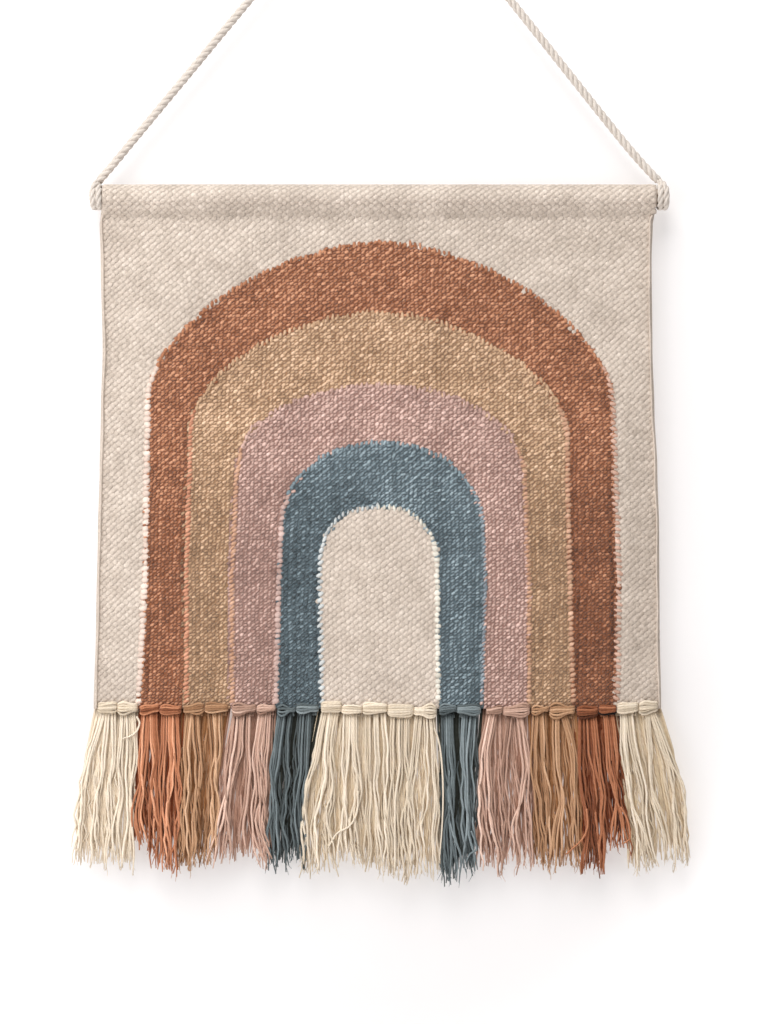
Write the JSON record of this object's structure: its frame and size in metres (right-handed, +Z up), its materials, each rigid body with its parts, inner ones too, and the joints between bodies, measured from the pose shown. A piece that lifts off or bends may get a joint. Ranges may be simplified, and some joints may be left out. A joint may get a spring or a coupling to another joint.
{
  "type": "textile wall hanging with rod",
  "caption": "Woven wall hanging with a nested arch design, a rod in a sewn sleeve, a hanging cord and a tassel fringe.",
  "frame": {"origin": "inside of the hanging cord's top bend, where the peg bears", "axes": "+Z up; the front faces -Y; +X to the right seen from the front, along the rod"},
  "size_m": [0.4927, 0.0222, 0.8272],
  "materials": {
    "woven_cloth": "weft-faced wool and cotton weave, matt",
    "rod_wood": "plain sanded beech",
    "cotton_cord": "twisted cotton rope, matt",
    "yarn_cream": "plied wool yarn",
    "yarn_rust": "plied wool yarn",
    "yarn_ochre": "plied wool yarn",
    "yarn_pink": "plied wool yarn",
    "yarn_blue": "plied wool yarn"
  },
  "bodies": {
    "root": {"woven_panel": "woven_cloth", "rod": "rod_wood", "hanging_cord": "cotton_cord", "hitch_left": "cotton_cord", "hitch_right": "cotton_cord", "tassel_01": "yarn_cream", "tassel_02": "yarn_cream", "tassel_03": "yarn_rust", "tassel_04": "yarn_rust", "tassel_05": "yarn_ochre", "tassel_06": "yarn_ochre", "tassel_07": "yarn_pink", "tassel_08": "yarn_pink", "tassel_09": "yarn_blue", "tassel_10": "yarn_blue", "tassel_11": "yarn_cream", "tassel_12": "yarn_cream", "tassel_13": "yarn_cream", "tassel_14": "yarn_cream", "tassel_15": "yarn_cream", "tassel_16": "yarn_blue", "tassel_17": "yarn_blue", "tassel_18": "yarn_pink", "tassel_19": "yarn_pink", "tassel_20": "yarn_ochre", "tassel_21": "yarn_ochre", "tassel_22": "yarn_rust", "tassel_23": "yarn_rust", "tassel_24": "yarn_cream", "tassel_25": "yarn_cream"}
  },
  "joints": []
}
